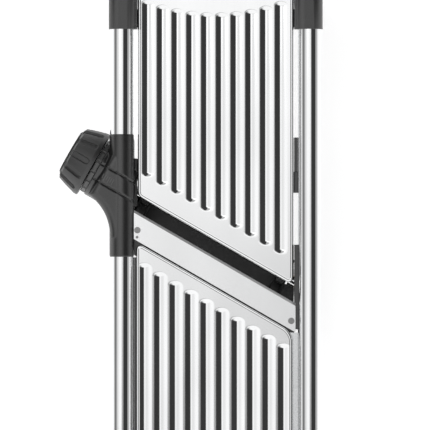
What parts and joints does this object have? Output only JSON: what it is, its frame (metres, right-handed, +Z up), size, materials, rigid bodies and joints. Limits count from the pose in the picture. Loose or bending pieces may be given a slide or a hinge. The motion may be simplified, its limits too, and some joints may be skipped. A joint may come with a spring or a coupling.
{
  "type": "mandoline slicer",
  "caption": "kitchen slicer: pressed steel deck between two tubes, slanted fixed blade, knob-set sliding run-up plate, handle and folding rear leg",
  "frame": {"origin": "middle of the front foot's sole, on the surface it stands on", "axes": "+Z up, +Y from the front foot towards the handle, +X to the right tube; the deck rises 15 degrees towards +Y"},
  "size_m": [0.1768, 0.3799, 0.1222],
  "materials": {
    "tube_steel": "polished stainless tube, fine lengthwise grain",
    "leg_steel": "polished bent stainless tube",
    "sheet_steel": "bright pressed stainless sheet",
    "blade_steel": "ground blade strip, fine grain",
    "hardware_steel": "machined steel",
    "bush_brass": "turned brass",
    "black_nylon": "black moulded nylon, fine texture",
    "cam_acetal": "black moulded acetal",
    "soft_grip": "soft black overmould",
    "foot_rubber": "black rubber"
  },
  "bodies": {
    "frame": {"left_tube_upper": "tube_steel", "left_tube_lower": "tube_steel", "right_tube": "tube_steel", "handle_bridge": "black_nylon", "handle_grip": "soft_grip", "lower_end_bridge": "black_nylon", "front_foot": "foot_rubber", "landing_plate": "sheet_steel", "main_blade": "blade_steel", "blade_carrier": "black_nylon", "blade_rivets": "hardware_steel", "landing_rail_left": "black_nylon", "landing_rail_right": "black_nylon", "right_end_bracket": "black_nylon", "bracket_screws": "hardware_steel", "right_bush": "bush_brass", "right_guide_bracket": "black_nylon", "chute_guard": "black_nylon", "knob_housing": "black_nylon", "housing_cover": "black_nylon", "cover_screws": "hardware_steel", "left_bush": "bush_brass", "index_ring": "black_nylon", "detent_spring": "hardware_steel", "detent_ball": "hardware_steel", "leg_pin_left": "hardware_steel", "leg_pin_right": "hardware_steel"},
    "platform": {"run_up_plate": "sheet_steel", "platform_frame": "black_nylon", "guide_posts": "hardware_steel"},
    "knob": {"knob_core": "black_nylon", "knob_grip": "soft_grip", "knob_cap": "black_nylon", "knob_screw": "hardware_steel", "cam_shaft": "hardware_steel", "left_cam": "cam_acetal", "right_cam": "cam_acetal", "cam_pins": "hardware_steel", "shaft_clip": "hardware_steel"},
    "leg": {"leg_tube": "leg_steel", "leg_knuckle_left": "black_nylon", "leg_knuckle_right": "black_nylon", "rear_foot_left": "foot_rubber", "rear_foot_right": "foot_rubber"}
  },
  "joints": [
    {"name": "knob_turn", "type": "hinge", "parent": "frame", "child": "knob", "pos_m": [0.00628, 0.16911, 0.04842], "axis": [-0.866, 0.483, 0.1294], "range_deg": [-101, 168.5]},
    {"name": "platform_slide", "type": "slide", "parent": "frame", "child": "platform", "axis": [0, -0.2588, 0.9659], "range_m": [-0.00499, 0.00299]},
    {"name": "leg_fold", "type": "hinge", "parent": "frame", "child": "leg", "pos_m": [0, 0.33105, 0.08974], "axis": [-1, 0, 0], "range_deg": [0, 90]}
  ],
  "couplings": [
    {"joint": "knob_turn", "follows": "platform_slide", "rad_per_m": -588.93}
  ]
}
